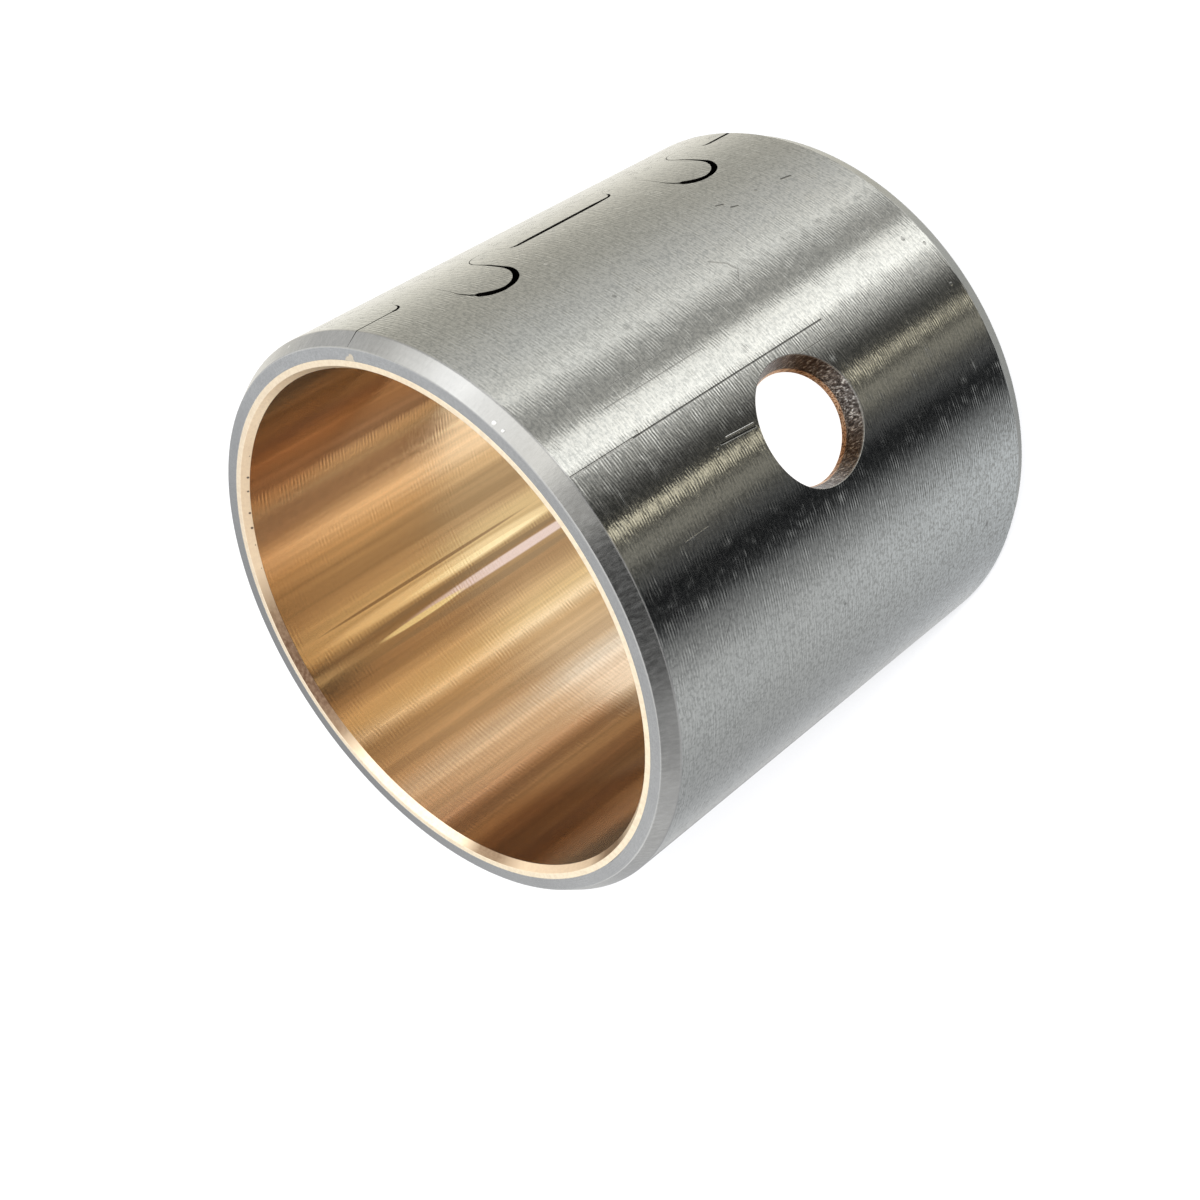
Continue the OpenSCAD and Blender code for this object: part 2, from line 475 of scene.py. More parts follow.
class TurnedMetal(Graph):
    """Shader graph with the bush's own coordinates in millimetres: around, up, radius and angle."""

    def __init__(self, name):
        self.material = bpy.data.materials.new(name)
        self.material.use_nodes = True
        super().__init__(self.material.node_tree)
        coords = self.node("ShaderNodeTexCoord")
        self.point = self.vector("SCALE", coords.outputs["Object"], 1 / MM)
        split = self.node("ShaderNodeSeparateXYZ")
        self.put(self.point, split.inputs[0])
        self.x, self.y, self.up = split.outputs
        self.angle = self.math("ARCTAN2", self.y, self.x)
        squares = self.math("MULTIPLY_ADD", self.x, self.x, self.math("MULTIPLY", self.y, self.y))
        self.radius = self.math("SQRT", squares)
        self.circle = (self.math("DIVIDE", self.x, self.radius), self.math("DIVIDE", self.y, self.radius))
        self.down_profile = self.math("ADD", self.up, self.radius)

    def stretched(self, around, up, shift=0.0):
        """Noise coordinates without a joint where the angle wraps: cycles per millimetre each way."""
        cx, cy = self.circle
        rim = around * OUTER_R
        return self.combine(
            self.math("MULTIPLY_ADD", cx, rim, shift),
            self.math("MULTIPLY", cy, rim),
            self.math("MULTIPLY", self.down_profile, up),
        )

    def feed_marks(self, pitch, around, up, shift=0.0):
        """Broken rings of the turning tool, from about -0.25 to 0.25."""
        drift = self.noise(self.stretched(around * 0.4, up * 0.5, shift + 11))
        turns = self.math("MULTIPLY", self.down_profile, 2 * pi / pitch)
        wave = self.math("SINE", self.math("MULTIPLY_ADD", drift, 5.0, turns))
        strength = self.noise(self.stretched(around, up, shift), detail=1)
        return self.math("MULTIPLY", wave, self.math("SUBTRACT", strength, 0.5))

    def stripe(self, angle, width):
        """1 along the bush within half of width from an angle, in degrees, fading to 0 at width."""
        far = self.math("ABSOLUTE", self.math("SUBTRACT", self.angle, radians(angle)))
        return self.step(far, radians(width), radians(width * 0.5))

    def glint(self, angle, height, half_angle, half_length):
        """1 in the middle of a long thin oval on the surface, 0 outside it."""
        aside = self.math("SUBTRACT", self.angle, radians(angle))
        wide = self.math("MULTIPLY", aside, 1 / radians(half_angle))
        above = self.math("SUBTRACT", self.up, height)
        tall = self.math("MULTIPLY", above, 1 / half_length)
        far = self.math("ADD", self.math("MULTIPLY", wide, wide), self.math("MULTIPLY", tall, tall))
        return self.step(far, 1.0, 0.35)

    def spot(self, angle, height, size, radius=None, soft=0.5):
        """1 inside a round spot on the surface, 0 outside it."""
        far = self.vector("DISTANCE", self.point, polar(angle, height, radius), "Value")
        return self.step(far, size, size * soft)

    def scratch(self, start, end, width):
        """1 along a straight scratch between two (angle, height) points of the outside."""
        a, b = Vector(polar(*start)), Vector(polar(*end))
        way = b - a
        local = self.vector("SUBTRACT", self.point, a)
        t = self.vector("DOT_PRODUCT", local, way / way.length_squared, "Value")
        foot = self.node("ShaderNodeVectorMath", operation="SCALE")
        self.put(way, foot.inputs[0])
        self.put(self.scale(t, 0, 1, 0, 1), foot.inputs["Scale"])
        far = self.vector("DISTANCE", local, foot.outputs[0], "Value")
        return self.step(far, width, width * 0.4)

    def total(self, values):
        """The largest of the values at each place."""
        result = values[0]
        for value in values[1:]:
            result = self.math("MAXIMUM", result, value)
        return result

    def finish(self, colour, rough, height, metallic=1.0, anisotropic=0.0):
        """Principled shader. height is in micrometres."""
        shader = self.node("ShaderNodeBsdfPrincipled")
        self.put(colour, shader.inputs["Base Color"])
        self.put(metallic, shader.inputs["Metallic"])
        self.put(rough, shader.inputs["Roughness"])
        if anisotropic:
            shader.inputs["Anisotropic"].default_value = anisotropic
            shader.inputs["Anisotropic Rotation"].default_value = 0.25
            tangent = self.node("ShaderNodeTangent", direction_type="RADIAL", axis="Z")
            self.put(tangent.outputs[0], shader.inputs["Tangent"])
        bump = self.node("ShaderNodeBump")
        bump.inputs["Strength"].default_value = 1.0
        bump.inputs["Distance"].default_value = 0.001 * MM
        self.put(height, bump.inputs["Height"])
        self.put(bump.outputs[0], shader.inputs["Normal"])
        output = self.node("ShaderNodeOutputMaterial")
        self.put(shader.outputs[0], output.inputs["Surface"])
        return self.material


def polar(angle, height, radius=None):
    """Point at an angle in degrees and a height, on the outside unless a radius is given."""
    r = OUTER_R if radius is None else radius
    return (r * cos(radians(angle)), r * sin(radians(angle)), height)


# Marks on the outside: (angle, height) of start and end, and width
DARK_SCRATCHES = [
    ((-76.0, 31.5), (-76.0, 13.8), 0.065),
    ((-84.8, 26.4), (-85.5, 23.4), 0.080),
    ((-46.7, 5.9), (-47.1, 5.1), 0.110),
    ((-44.6, 11.8), (-45.2, 11.3), 0.090),
    ((-46.8, 11.2), (-47.3, 10.7), 0.090),
]
FAINT_SCRATCHES = [
    ((-76.0, 37.1), (-76.0, 31.0), 0.080),
    ((-69.3, 31.8), (-69.1, 23.1), 0.045),
    ((-66.2, 30.2), (-66.0, 25.0), 0.040),
    ((-79.1, 20.0), (-79.2, 13.0), 0.040),
    ((-55.3, 17.0), (-57.6, 16.1), 0.070),
    ((-57.6, 16.1), (-59.8, 15.9), 0.070),
    ((-59.8, 15.9), (-62.1, 16.7), 0.070),
    ((-110.0, 31.0), (-114.5, 32.3), 0.045),
    ((-134.5, 15.6), (-134.4, 13.9), 0.045),
]
# Raised dashes that carry a painted highlight: (angle, height) of start and end, and width
HIGHLIT_DASHES = [
    ((-95.1, 32.3), (-95.1, 30.3), 0.060),
    ((-84.3, 25.8), (-84.8, 23.4), 0.060),
]
# Pits and bumps on the outside: angle, height and radius
PITS = [
    (-131.4, 4.9, 0.22), (-142.9, 5.2, 0.16), (-136.0, 8.5, 0.14), (-51.6, 24.4, 0.20), (-46.0, 8.3, 0.16),
    (-71.3, 3.2, 0.20), (-74.3, 1.9, 0.16), (-75.4, 31.0, 0.10), (-85.0, 26.8, 0.10), (-124.0, 21.0, 0.14),
]
BUMPS = [(-27.8, 20.0, 0.16), (-35.9, 24.6, 0.18), (-83.5, 2.2, 0.16)]
# Burrs on the upper chamfer: angle, height, size and radius
BURRS = [(-60.7, 37.75, 0.18, 19.50), (-62.8, 37.75, 0.14, 19.52), (-5.0, 37.4, 0.13, 19.7)]
# Open pores at the lining's lip: angle and size
LIP_PORES = [(37.5, 0.13), (41.5, 0.11), (47.5, 0.12), (51.5, 0.13), (56.0, 0.07), (31.0, 0.07), (62.0, 0.06)]

# Outside of the steel: pitches in millimetres, roughness, depths in micrometres and tones
FEED_PITCH, FINE_PITCH, TICK_PITCH = 0.22, 0.37, 0.19
WALL_ROUGH = (0.12, 0.17)
FEED_DEPTH, FINE_DEPTH, GRAIN_DEPTH = 30.0, 14.0, 3.0
DARK_DEPTH, FAINT_DEPTH, BRIGHT_DEPTH = -14.0, -6.0, 5.0
STEEL_COOL, STEEL_WARM, STEEL_PAINTED_REFLECTION = (0.66, 0.68, 0.66), (0.72, 0.71, 0.66), (0.92, 0.97, 0.97)
STEEL_GRAIN, STEEL_GROOVE_SHADE, STEEL_PAINTED_DARK = (0.49, 0.50, 0.48), (0.36, 0.37, 0.35), (0.05, 0.055, 0.055)
PAINTED_TICK_SHADE, FAINT_TONE = (0.16, 0.155, 0.13), (0.22, 0.21, 0.20)
DARK_TONE, PAINTED_HIGHLIGHT_TONE = (0.05, 0.048, 0.046), (0.95, 0.95, 0.93)
# Stripes along the outside, angle and width: painted dark ticks, a painted pale reflection and a painted dark
# reflection
PAINTED_TICK_STRIPES = [(-87.3, 2.6), (-77.6, 3.6)]
PAINTED_REFLECTION_STRIPE, PAINTED_DARK_STRIPE = (-142.0, 44.0), (-162.6, 4.2)


def steel_turned():
    """Ground and turned steel: broken tool marks round the bush, fine grain, a few scratches and pits."""
    g = TurnedMetal("steel_turned")
    feed = g.feed_marks(FEED_PITCH, 0.95, 0.9)
    fine = g.feed_marks(FINE_PITCH, 0.6, 1.2, 60)
    grain = g.noise(g.stretched(4.2, 5.2, 40), detail=3, rough=0.6)
    broad = g.noise(g.stretched(0.10, 0.07, 90), detail=2)
    # Painted ticks: dark breaks of a reflection, painted in two stripes
    painted_ticks = g.feed_marks(TICK_PITCH, 0.7, 1.0, 33)
    strong, weak = [g.stripe(*s) for s in PAINTED_TICK_STRIPES]
    painted_tick_mask = g.math("MAXIMUM", strong, g.math("MULTIPLY", weak, 0.7))
    painted_ticks = g.math("MULTIPLY", g.scale(painted_ticks, -0.02, 0.10, 0.0, 1.0), painted_tick_mask)
    pits = g.total([g.spot(*s) for s in PITS])
    dark = g.total([g.scratch(*s) for s in DARK_SCRATCHES] + [g.math("MULTIPLY", pits, 0.55)])
    faint = g.total([g.scratch(*s) for s in FAINT_SCRATCHES])
    bright = g.total([g.scratch(*s) for s in HIGHLIT_DASHES] + [g.spot(*s) for s in BUMPS])
    height = g.math("MULTIPLY", feed, FEED_DEPTH)
    height = g.math("MULTIPLY_ADD", fine, FINE_DEPTH, height)
    height = g.math("MULTIPLY_ADD", grain, GRAIN_DEPTH, height)
    height = g.math("MULTIPLY_ADD", dark, DARK_DEPTH, height)
    height = g.math("MULTIPLY_ADD", faint, FAINT_DEPTH, height)
    height = g.math("MULTIPLY_ADD", bright, BRIGHT_DEPTH, height)
    colour = g.mix(broad, STEEL_COOL, STEEL_WARM)
    # Painted reflection: a pale band on one side of the wall, stronger towards the lower end
    pale = g.math("MULTIPLY", g.stripe(*PAINTED_REFLECTION_STRIPE), g.scale(g.up, 26.0, 3.0, 0.22, 0.85))
    colour = g.mix(pale, colour, STEEL_PAINTED_REFLECTION)
    colour = g.mix(g.step(grain, 0.34, 0.58), STEEL_GRAIN, colour)
    # Painted shade: the tool's grooves darker where they are deepest
    colour = g.mix(g.scale(feed, -0.10, 0.06, 0.30, 0.0), colour, STEEL_GROOVE_SHADE)
    colour = g.mix(g.scale(fine, -0.08, 0.06, 0.26, 0.0), colour, STEEL_GROOVE_SHADE)
    # Painted dark reflection: a near-black band along one side, from the middle upwards
    under = g.math("MULTIPLY", g.stripe(*PAINTED_DARK_STRIPE), g.step(g.up, 10.0, 22.0))
    colour = g.mix(g.math("MULTIPLY", under, 0.85), colour, STEEL_PAINTED_DARK)
    colour = g.mix(g.math("MULTIPLY", painted_ticks, 0.62), colour, PAINTED_TICK_SHADE)
    colour = g.mix(g.math("MULTIPLY", faint, 0.40), colour, FAINT_TONE)
    colour = g.mix(g.math("MULTIPLY", dark, 0.80), colour, DARK_TONE)
    # Painted highlight on the raised dashes and bumps
    colour = g.mix(g.math("MULTIPLY", bright, 0.6), colour, PAINTED_HIGHLIGHT_TONE)
    rough = g.scale(grain, 0.3, 0.7, *WALL_ROUGH)
    return g.finish(colour, rough, height, anisotropic=0.9)


# Faced steel: pitch, roughness and depths
FACED_PITCH, FACED_ROUGH = 0.16, (0.19, 0.27)
FACED_FEED_DEPTH, FACED_GRAIN_DEPTH, BURR_DEPTH = 7.0, 4.5, 12.0
# Tones of the flat ring, painted darker and lighter by side, of the upper chamfer and of the lower one,
# painted darker as shade, and of what lies on them, with painted highlights on the burrs
FACED_RING_SHADE, FACED_RING_LIGHT = (0.345, 0.343, 0.332), (0.61, 0.615, 0.605)
UPPER_CHAMFER_TONE, LOWER_CHAMFER_SHADE = (0.64, 0.64, 0.625), (0.43, 0.44, 0.40)
PATCH_TONE, FACED_GRAIN, BURR_HIGHLIGHT = (0.34, 0.34, 0.34), (0.30, 0.30, 0.29), (0.95, 0.95, 0.95)
# Bronze smeared over the seam on the flat ring: angle, height, size, radius and softness, and tone
SMEARS = [(-24.9, BUSH_L, 0.52, 18.36, 0.8), (-25.5, BUSH_L, 0.24, 18.78, 0.7)]
SMEAR_TONE = (0.90, 0.79, 0.62)


def steel_faced():
    """The faced end and its chamfer: cool grey rings with a fine grain, painted light and shade, and painted
    burr highlights.
    """
    g = TurnedMetal("steel_faced")
    feed = g.feed_marks(FACED_PITCH, 0.5, 2.0)
    grain = g.noise(g.stretched(4.5, 5.5, 20), detail=3, rough=0.65)
    patches = g.noise(g.stretched(0.35, 0.9, 50), detail=3)
    tilt = g.math("ABSOLUTE", g.math("SUBTRACT", g.up, BUSH_L / 2))
    flat = g.step(tilt, BUSH_L / 2 - 0.05, BUSH_L / 2 - 0.01)
    cx, cy = g.circle
    # Painted light and shade: the flat ring lighter or darker by the side it faces
    side = g.math("MULTIPLY_ADD", cx, 0.15, g.math("MULTIPLY", cy, -0.32))
    side = g.math("MULTIPLY_ADD", g.math("MULTIPLY", cx, cx), 0.50, side)
    face = g.mix(g.scale(side, -0.25, 0.75, 0, 1), FACED_RING_SHADE, FACED_RING_LIGHT)
    colour = g.mix(flat, UPPER_CHAMFER_TONE, face)
    # Painted shade: the lower chamfer darker than the upper one
    colour = g.mix(g.step(g.up, 5.0, 2.0), colour, LOWER_CHAMFER_SHADE)
    colour = g.mix(g.scale(patches, 0.35, 0.65, 0.0, 0.20), colour, PATCH_TONE)
    colour = g.mix(g.scale(grain, 0.30, 0.65, 0.22, 0.0), colour, FACED_GRAIN)
    burrs = g.total([g.spot(*s) for s in BURRS])
    # Painted highlight on the burrs
    colour = g.mix(g.math("MULTIPLY", burrs, 0.7), colour, BURR_HIGHLIGHT)
    height = g.math("MULTIPLY", feed, FACED_FEED_DEPTH)
    height = g.math("MULTIPLY_ADD", grain, FACED_GRAIN_DEPTH, height)
    height = g.math("MULTIPLY_ADD", burrs, BURR_DEPTH, height)
    rough = g.scale(grain, 0.3, 0.7, *FACED_ROUGH)
    smear = g.math("MULTIPLY", g.total([g.spot(*s) for s in SMEARS]), flat)
    colour = g.mix(smear, colour, SMEAR_TONE)
    return g.finish(colour, rough, height, anisotropic=0.85)


# Cut faces: tones of the steel from deep to bright, a reddish side of the hole, painted shade inside the
# seam, and rim
CUT_STEEL = [
    (0.34, (0.030, 0.026, 0.024)), (0.49, (0.125, 0.108, 0.098)),
    (0.58, (0.29, 0.27, 0.255)), (0.66, (0.85, 0.84, 0.80)),
]
HOLE_SIDE_TONE, CUT_RIM_TONE = (0.085, 0.045, 0.033), (0.66, 0.66, 0.62)
STEEL_SEAM_SHADE, BRONZE_SEAM_SHADE = (0.016, 0.014, 0.013), (0.03, 0.022, 0.018)
# The same for the bronze, and for the steel smeared over it
CUT_COPPER = [(0.38, (0.12, 0.055, 0.03)), (0.48, (0.74, 0.45, 0.28)), (0.60, (1.0, 0.80, 0.60))]
CUT_SMEAR = [(0.38, (0.03, 0.025, 0.022)), (0.50, (0.12, 0.10, 0.09)), (0.62, (0.45, 0.42, 0.39))]
# Distance in millimetres from the yz plane at which the oil hole's faces give way to the seam's
SEAM_FROM, SEAM_FULL = 8.0, 10.0
# Grain of the cut steel round the hole and through the wall, in cycles per millimetre
CUT_AROUND, CUT_THROUGH = 6.5, 2.6
STEEL_CUT_ROUGH, STEEL_CUT_DEPTH = 0.40, 45.0
BRONZE_CUT_ROUGH, BRONZE_CUT_DEPTH = 0.42, 25.0


def steel_sheared():
    """The oil hole's wall and the sheared edges of the seam: dark, with bright streaks along the cut, and
    painted shade in the seam.
    """
    g = TurnedMetal("steel_sheared")
    up = g.math("SUBTRACT", g.up, HOLE_H)
    turn = g.math("ARCTAN2", up, g.x)
    place = g.combine(
        g.math("MULTIPLY", g.math("COSINE", turn), HOLE_R * CUT_AROUND),
        g.math("MULTIPLY", g.math("SINE", turn), HOLE_R * CUT_AROUND),
        g.math("MULTIPLY", g.radius, CUT_THROUGH),
    )
    streaks = g.noise(place, detail=3, rough=0.7)
    colour = g.ramp(streaks, CUT_STEEL)
    # Reddish brown towards one side of the hole and upwards
    reddish_side = g.scale(g.math("MULTIPLY_ADD", g.x, 0.8, g.math("MULTIPLY", up, 0.6)), -1.5, 3.5, 0.0, 0.55)
    colour = g.mix(reddish_side, colour, HOLE_SIDE_TONE)
    # Painted shade: the seam's cut faces near black
    colour = g.mix(g.step(g.x, SEAM_FROM, SEAM_FULL), colour, STEEL_SEAM_SHADE)
    rim = g.step(g.radius, OUTER_R - 0.16, OUTER_R - 0.06)
    rim = g.math("MULTIPLY", rim, g.step(g.x, SEAM_FULL, SEAM_FROM))
    colour = g.mix(g.math("MULTIPLY", rim, 0.45), colour, CUT_RIM_TONE)
    return g.finish(colour, STEEL_CUT_ROUGH, g.math("MULTIPLY", streaks, STEEL_CUT_DEPTH))


# Painted reflections and shade, as streaks along the bore: angle, level and tone
RED_TINT, BROWN, BRONZE = (1.0, 0.62, 0.37), (1.0, 0.61, 0.30), (1.0, 0.67, 0.34)
GOLD, SAND, GLOW = (1.0, 0.73, 0.37), (1.0, 0.73, 0.44), (1.0, 0.79, 0.50)
PALE, CREAM = (1.0, 0.80, 0.58), (1.0, 0.88, 0.70)
BORE_PAINTED_LIGHT = [
    (0, 0.86, PALE), (20, 0.56, SAND), (30, 0.63, RED_TINT), (36, 0.54, RED_TINT), (44, 0.36, RED_TINT),
    (46.8, 1.00, SAND), (49.5, 1.00, GLOW), (51, 1.00, SAND), (55, 0.98, SAND), (60, 1.00, SAND),
    (62.5, 1.00, SAND), (66, 0.68, BRONZE), (72, 0.43, BRONZE), (79, 0.50, BRONZE), (82, 0.68, GOLD),
    (87.9, 0.70, GOLD), (89.2, 0.28, BROWN), (93, 0.50, BRONZE), (96, 0.38, BROWN), (101, 0.57, BRONZE),
    (106, 0.78, GOLD), (108.2, 1.00, GLOW), (110.5, 0.56, BRONZE), (121, 0.64, SAND), (125.5, 1.00, CREAM),
    (129, 0.92, PALE), (136, 0.98, PALE), (138.5, 0.52, SAND), (150, 0.26, RED_TINT), (165, 0.24, RED_TINT),
    (180, 0.90, PALE), (360, 0.86, PALE),
]

# Bored bronze: fine lines along the bore, from darkest to lightest, and the tone of its painted tick marks
BORE_LINES = [(0.3, (0.76, 0.74, 0.72)), (0.7, (1.10, 1.10, 1.10))]
BORE_PAINTED_TICK_SHADE = (0.50, 0.34, 0.22)
# Below 1, so that the bore keeps some colour where it mirrors black
BORE_METALLIC = 0.91
BORE_PITCH, BORE_ROUGH = 0.31, (0.13, 0.18)
BORE_RING_DEPTH, BORE_GRAIN_DEPTH = 6.0, 2.5
# Painted tick marks, which break up a painted reflection: pitch, and angle and width of the stripe that has
# them
BORE_TICK_PITCH, BORE_PAINTED_TICK_STRIPE = 0.36, (125.5, 9.0)
# Painted glints and dark reflections that taper along the bore: angle and height of the middle, half sizes,
# colour
BORE_GLINTS = [
    (86.4, 22.5, 1.9, 15.0, (0.86, 0.66, 0.36)),
    (86.9, 20.5, 0.8, 8.5, (1.0, 0.83, 0.48)),
    (83.5, 25.0, 0.5, 12.0, (0.34, 0.22, 0.11)),
    (89.4, 22.0, 0.8, 13.0, (0.30, 0.20, 0.105)),
    (91.6, 16.5, 1.3, 13.5, (0.78, 0.62, 0.55)),
    (92.2, 27.0, 0.8, 4.8, (0.92, 0.76, 0.40)),
    (94.6, 20.0, 1.0, 14.0, (0.34, 0.225, 0.12)),
]


def bronze_bored():
    """Bored bronze: painted reflections and shade as bright and dark streaks along the bore, broken up by the
    boring tool's fine rings.
    """
    g = TurnedMetal("bronze_bored")
    rings = g.feed_marks(BORE_PITCH, 0.6, 0.7)
    drift = g.noise(g.stretched(0.25, 0.05, 25), detail=2)
    grain = g.noise(g.stretched(2.2, 2.6, 45), detail=3)
    # Painted reflections and shade: tones of the streaks by angle, their edges broken by the rings
    turn = g.math("FRACT", g.math("MULTIPLY_ADD", g.angle, 0.5 / pi, 1.0))
    turn = g.math("MULTIPLY_ADD", rings, 0.012, turn)
    turn = g.math("MULTIPLY_ADD", g.math("SUBTRACT", drift, 0.5), 0.008, turn)
    stops = [(angle / 360, tuple(level * part for part in tone)) for angle, level, tone in BORE_PAINTED_LIGHT]
    colour = g.ramp(turn, stops)
    fine = g.noise(g.stretched(1.2, 0.02, 5), detail=4, rough=0.6)
    colour = g.mix(1.0, colour, g.ramp(fine, BORE_LINES), "MULTIPLY")
    # Painted glints, light and dark
    for angle, up, half_angle, half_length, tone in BORE_GLINTS:
        colour = g.mix(g.glint(angle, up, half_angle, half_length), colour, tone)
    # Painted ticks: dark breaks across the painted reflection in one stripe
    painted_ticks = g.math("SINE", g.math("MULTIPLY", g.down_profile, 2 * pi / BORE_TICK_PITCH))
    painted_ticks = g.math("MULTIPLY", g.scale(painted_ticks, -0.6, 0.9, 0.0, 0.30), g.stripe(*BORE_PAINTED_TICK_STRIPE))
    painted_ticks = g.math("MULTIPLY", painted_ticks, g.scale(grain, 0.3, 0.6, 0.4, 1.0))
    colour = g.mix(painted_ticks, colour, BORE_PAINTED_TICK_SHADE)
    height = g.math("MULTIPLY", rings, BORE_RING_DEPTH)
    height = g.math("MULTIPLY_ADD", grain, BORE_GRAIN_DEPTH, height)
    rough = g.scale(grain, 0.3, 0.7, *BORE_ROUGH)
    return g.finish(colour, rough, height, metallic=BORE_METALLIC, anisotropic=0.85)


# Painted reflections and shade round the lip: angle and tone
LIP_LIT, LIP_HALF_LIT = (0.98, 0.80, 0.57), (0.74, 0.58, 0.40)
LIP_DIMMED, LIP_SHADED = (0.25, 0.165, 0.100), (0.13, 0.070, 0.040)
LIP_PAINTED_LIGHT = [
    (0, LIP_LIT), (12, LIP_LIT), (28, LIP_HALF_LIT), (62, LIP_HALF_LIT), (73, LIP_DIMMED), (82, LIP_SHADED),
    (96, LIP_SHADED), (104, LIP_DIMMED), (113, LIP_LIT), (143, LIP_LIT), (149, LIP_DIMMED), (155, LIP_DIMMED),
    (163, LIP_HALF_LIT), (187, LIP_HALF_LIT), (194, LIP_DIMMED), (200, LIP_DIMMED), (208, LIP_LIT), (360, LIP_LIT),
]

# The faced ring's two sides, one painted lighter than the other, its grain and its open pores
BRONZE_RING_SHADE, BRONZE_RING_LIGHT = (0.84, 0.71, 0.53), (0.89, 0.77, 0.57)
RING_GRAIN, PORE_TONE = (0.55, 0.40, 0.27), (0.08, 0.05, 0.035)
LIP_METALLIC, RING_METALLIC = 0.35, 0.6
RING_PITCH, RING_ROUGH = 0.14, 0.28
RING_FEED_DEPTH, RING_GRAIN_DEPTH = 4.0, 6.0


def bronze_faced():
    """The lining's faced ring and lip: pale, with open pores at the lip, and painted light and shade round
    both.
    """
    g = TurnedMetal("bronze_faced")
    feed = g.feed_marks(RING_PITCH, 0.5, 2.0)
    grain = g.noise(g.stretched(3.0, 3.4, 20), detail=4, rough=0.65)
    pores = g.total([g.spot(angle, BUSH_L - 0.42, size, BORE_R + 0.05) for angle, size in LIP_PORES])
    cx, cy = g.circle
    # Painted light and shade: one side of the ring lighter than the other
    side = g.math("MULTIPLY_ADD", cx, -0.36, g.math("MULTIPLY", cy, -0.36))
    colour = g.mix(g.scale(side, -0.4, 0.4, 0, 1), BRONZE_RING_SHADE, BRONZE_RING_LIGHT)
    flat = g.step(g.up, BUSH_L - 0.03, BUSH_L - 0.01)
    # Painted reflections and shade round the lip
    turn = g.math("FRACT", g.math("MULTIPLY_ADD", g.angle, 0.5 / pi, 1.0))
    lip = g.ramp(turn, [(angle / 360, tone) for angle, tone in LIP_PAINTED_LIGHT])
    colour = g.mix(flat, lip, colour)
    colour = g.mix(g.scale(grain, 0.35, 0.6, 0.30, 0.0), colour, RING_GRAIN)
    colour = g.mix(pores, colour, PORE_TONE)
    height = g.math("MULTIPLY", feed, RING_FEED_DEPTH)
    height = g.math("MULTIPLY_ADD", grain, RING_GRAIN_DEPTH, height)
    metallic = g.scale(flat, 0, 1, LIP_METALLIC, RING_METALLIC)
    return g.finish(colour, RING_ROUGH, height, metallic=metallic, anisotropic=0.7)


def bronze_sheared():
    """The lining's edge in the oil hole and the seam: copper inside, smeared with steel outside, and painted
    shade in the seam.
    """
    g = TurnedMetal("bronze_sheared")
    marks = g.noise(g.stretched(7.5, 7.5), detail=3, rough=0.65)
    copper, smear = g.ramp(marks, CUT_COPPER), g.ramp(marks, CUT_SMEAR)
    edge = g.math("MULTIPLY_ADD", marks, 0.16, g.radius)
    colour = g.mix(g.step(edge, BOND_R - 0.20, BOND_R - 0.13), copper, smear)
    # Painted shade: the seam's cut faces near black
    colour = g.mix(g.step(g.x, SEAM_FROM, SEAM_FULL), colour, BRONZE_SEAM_SHADE)
    return g.finish(colour, BRONZE_CUT_ROUGH, g.math("MULTIPLY", marks, BRONZE_CUT_DEPTH))


# Pieces


def dress(name, corners, materials, node):
    """One layer of the bush, turned from its profile, with the seam and the oil hole cut through it."""
    points, normals, slots = rounded_profile(corners)
    shell = lathe(name, points, slots, materials[:SHEARED])
    carve(shell, "seam", seam_cutter(), materials[SHEARED])
    carve(shell, "oil_hole", hole_cutter(), materials[SHEARED])
    weld(shell)
    profile_normals(shell, points, normals)
    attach(shell, "root")
    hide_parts(node)
    return shell


def steel_shell():
    """The steel layer."""
    corners = [
        (BOND_R, 0, BOND_EDGE_R, FACED),
        (OUTER_R - LOWER_CHAMFER_T, 0, RIM_EDGE_R, FACED),
        (OUTER_R, LOWER_CHAMFER_L, WALL_EDGE_R, WALL),
        (OUTER_R, BUSH_L - UPPER_CHAMFER_L, WALL_EDGE_R, FACED),
        (OUTER_R - UPPER_CHAMFER_T, BUSH_L, RIM_EDGE_R, FACED),
        (BOND_R, BUSH_L, BOND_EDGE_R, WALL),
    ]
    materials = [steel_turned(), steel_faced(), steel_sheared()]
    return dress("steel_shell", corners, materials, "steel_backing")


def bronze_shell():
    """The bronze layer."""
    lip_r = BORE_R + BORE_CHAMFER_T
    corners = [
        (BOND_R, 0, BOND_EDGE_R, WALL),
        (BOND_R, BUSH_L, BOND_EDGE_R, FACED),
        (lip_r, BUSH_L, LIP_EDGE_R, FACED),
        (BORE_R, BUSH_L - BORE_CHAMFER_L, LIP_EDGE_R, WALL),
        (BORE_R, BORE_CHAMFER_L, LIP_EDGE_R, FACED),
        (lip_r, 0, LIP_EDGE_R, FACED),
    ]
    materials = [bronze_bored(), bronze_faced(), bronze_sheared()]
    return dress("bronze_shell", corners, materials, "bronze_lining")


# Studio

